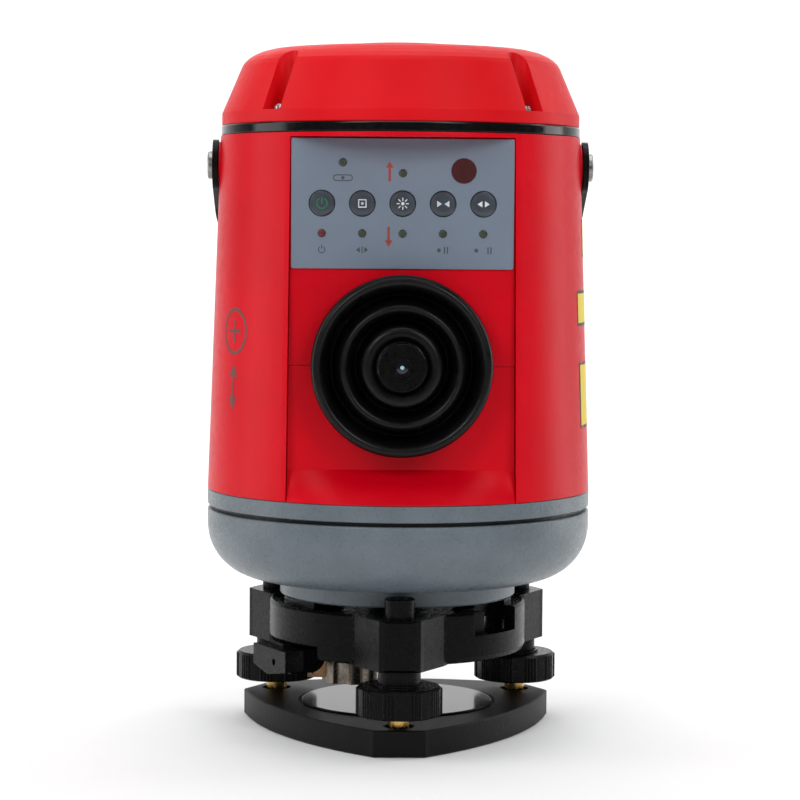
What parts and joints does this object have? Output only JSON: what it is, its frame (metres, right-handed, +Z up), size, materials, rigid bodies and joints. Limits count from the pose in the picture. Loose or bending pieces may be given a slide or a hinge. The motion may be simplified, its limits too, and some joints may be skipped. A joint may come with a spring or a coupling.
{
  "type": "rotating laser level",
  "caption": "Self-levelling laser plummet level: red drum head with keypad, bellows eyepiece and carrying bail, turning on a grey bowl held in a three-screw tribrach.",
  "frame": {"origin": "centre of the mouth of the tripod thread, on the base plate's underside", "axes": "+Z up along the plumb axis, -Y towards the user, who faces the keypad and eyepiece, +X to the user's right"},
  "size_m": [0.1658, 0.1735, 0.295],
  "materials": {
    "red_housing": "satin moulded plastic, bright red",
    "red_cap": "satin moulded plastic, bright red, fine grain",
    "grey_paint": "fine textured grey stoving paint on cast aluminium",
    "black_cast": "black textured paint on cast metal",
    "black_gloss": "glossy black paint",
    "black_turned": "black anodised turned metal",
    "black_plastic": "black moulded plastic",
    "rubber": "black moulded rubber",
    "brass": "turned brass",
    "bronze": "rolled bronze sheet",
    "nickel": "dull nickel plating",
    "steel": "plain steel",
    "aluminium": "machined aluminium",
    "keypad": "printed membrane, blue grey",
    "key": "dark grey membrane key",
    "led_clear": "smoky light window",
    "led_red": "reddish light window",
    "ir_filter": "dark red filter",
    "glass": "clear flat window",
    "lens": "coated lens",
    "board": "printed circuit board",
    "cell": "shrink sleeve"
  },
  "bodies": {
    "base": {"base_plate": "black_gloss", "tripod_thread_insert": "nickel", "spring_plate": "steel", "spring_plate_screws": "steel"},
    "foot_front": {"foot_knob_front": "black_turned", "foot_spindle_front": "brass"},
    "foot_right": {"foot_knob_right": "black_turned", "foot_spindle_right": "brass"},
    "foot_left": {"foot_knob_left": "black_turned", "foot_spindle_left": "brass"},
    "tribrach": {"tribrach_body": "black_cast", "foot_screw_bushes": "black_turned", "foot_screw_dust_caps": "black_turned"},
    "clamp": {"clamp_plate": "black_turned", "lock_lever": "black_turned", "lever_set_screw": "steel", "clamp_lobed_nut": "nickel", "clamp_leaf_spring": "bronze"},
    "instrument_base": {"base_bowl": "grey_paint", "centring_studs": "steel", "lower_window": "glass", "gap_seal_ring": "rubber", "azimuth_bearing": "steel"},
    "head": {"head_base_ring": "grey_paint", "azimuth_spindle": "steel", "housing_shell": "red_housing", "front_cover": "red_housing", "keypad_panel": "keypad", "keypad_board": "board", "status_leds": "led_clear", "power_led": "led_red", "ir_window": "ir_filter", "seal_band": "rubber", "top_cap": "red_cap", "top_cap_screws": "steel", "top_window_ring": "red_cap", "top_window_glass": "glass", "handle_bolts": "steel", "bellows_boot": "rubber", "side_frames": "aluminium", "levelling_actuators": "steel", "main_board": "board", "battery_tray": "black_plastic", "battery_cells": "cell"},
    "handle": {"handle_bail": "black_plastic"},
    "power_button": {"key_power": "key"},
    "set_button": {"key_set": "key"},
    "laser_button": {"key_laser": "key"},
    "near_button": {"key_near": "key"},
    "far_button": {"key_far": "key"},
    "door": {"battery_door": "red_housing"},
    "latch": {"battery_latch": "black_plastic"},
    "gimbal": {"gimbal_frame": "aluminium", "boot_collar": "rubber"},
    "telescope": {"telescope_tube": "aluminium", "telescope_optics": "lens", "focus_drive": "steel"},
    "focus": {"focus_cell": "aluminium"},
    "eyepiece": {"eyepiece_ring": "black_turned", "eyepiece_lens": "lens"}
  },
  "joints": [
    {"name": "foot_front_turn", "type": "hinge", "parent": "base", "child": "foot_front", "pos_m": [0, -0.0615, 0], "axis": [0, 0, 1], "range_deg": [-1261, 1261]},
    {"name": "foot_right_turn", "type": "hinge", "parent": "base", "child": "foot_right", "pos_m": [0.05326, 0.03075, 0], "axis": [0, 0, 1], "range_deg": [-1261, 1261]},
    {"name": "foot_left_turn", "type": "hinge", "parent": "base", "child": "foot_left", "pos_m": [-0.05326, 0.03075, 0], "axis": [0, 0, 1], "range_deg": [-1261, 1261]},
    {"name": "tribrach_lift", "type": "slide", "parent": "base", "child": "tribrach", "axis": [0, 0, 1], "range_m": [-0.0035, 0.0035]},
    {"name": "lever_swing", "type": "hinge", "parent": "tribrach", "child": "clamp", "pos_m": [0, 0, 0.045], "axis": [0, 0, 1], "range_deg": [-20, 9]},
    {"name": "instrument_lift_off", "type": "slide", "parent": "tribrach", "child": "instrument_base", "axis": [0, 0, 1], "range_m": [0, 0.03]},
    {"name": "head_turn", "type": "hinge", "parent": "instrument_base", "child": "head", "pos_m": [0, 0, 0.08], "axis": [0, 0, 1], "continuous": true},
    {"name": "handle_swing", "type": "hinge", "parent": "head", "child": "handle", "pos_m": [0, 0, 0.2433], "axis": [1, 0, 0], "range_deg": [0, 244]},
    {"name": "power_press", "type": "slide", "parent": "head", "child": "power_button", "axis": [0, 1, 0], "range_m": [0, 0.0006], "stiffness_N_per_m": 1500},
    {"name": "set_press", "type": "slide", "parent": "head", "child": "set_button", "axis": [0, 1, 0], "range_m": [0, 0.0006], "stiffness_N_per_m": 1500},
    {"name": "laser_press", "type": "slide", "parent": "head", "child": "laser_button", "axis": [0, 1, 0], "range_m": [0, 0.0006], "stiffness_N_per_m": 1500},
    {"name": "near_press", "type": "slide", "parent": "head", "child": "near_button", "axis": [0, 1, 0], "range_m": [0, 0.0006], "stiffness_N_per_m": 1500},
    {"name": "far_press", "type": "slide", "parent": "head", "child": "far_button", "axis": [0, 1, 0], "range_m": [0, 0.0006], "stiffness_N_per_m": 1500},
    {"name": "battery_door_swing", "type": "hinge", "parent": "head", "child": "door", "pos_m": [0, 0.0846, 0.121], "axis": [-1, 0, 0], "range_deg": [0, 100]},
    {"name": "latch_turn", "type": "hinge", "parent": "door", "child": "latch", "pos_m": [0, 0.079, 0.1685], "axis": [0, 1, 0], "range_deg": [0, 90]},
    {"name": "telescope_pitch", "type": "hinge", "parent": "head", "child": "gimbal", "pos_m": [0, 0, 0.1607], "axis": [1, 0, 0], "range_deg": [-1.2, 1.2]},
    {"name": "telescope_roll", "type": "hinge", "parent": "gimbal", "child": "telescope", "pos_m": [0, 0, 0.1607], "axis": [0, 1, 0], "range_deg": [-1.2, 1.2]},
    {"name": "focus_travel", "type": "slide", "parent": "telescope", "child": "focus", "axis": [0, 0, 1], "range_m": [-0.008, 0.008]},
    {"name": "eyepiece_turn", "type": "hinge", "parent": "telescope", "child": "eyepiece", "pos_m": [0, 0, 0.1607], "axis": [0, 1, 0], "range_deg": [-150, 150]}
  ],
  "couplings": [
    {"joint": "foot_front_turn", "follows": "tribrach_lift", "rad_per_m": -6283.2},
    {"joint": "foot_right_turn", "follows": "tribrach_lift", "rad_per_m": -6283.2},
    {"joint": "foot_left_turn", "follows": "tribrach_lift", "rad_per_m": -6283.2}
  ]
}
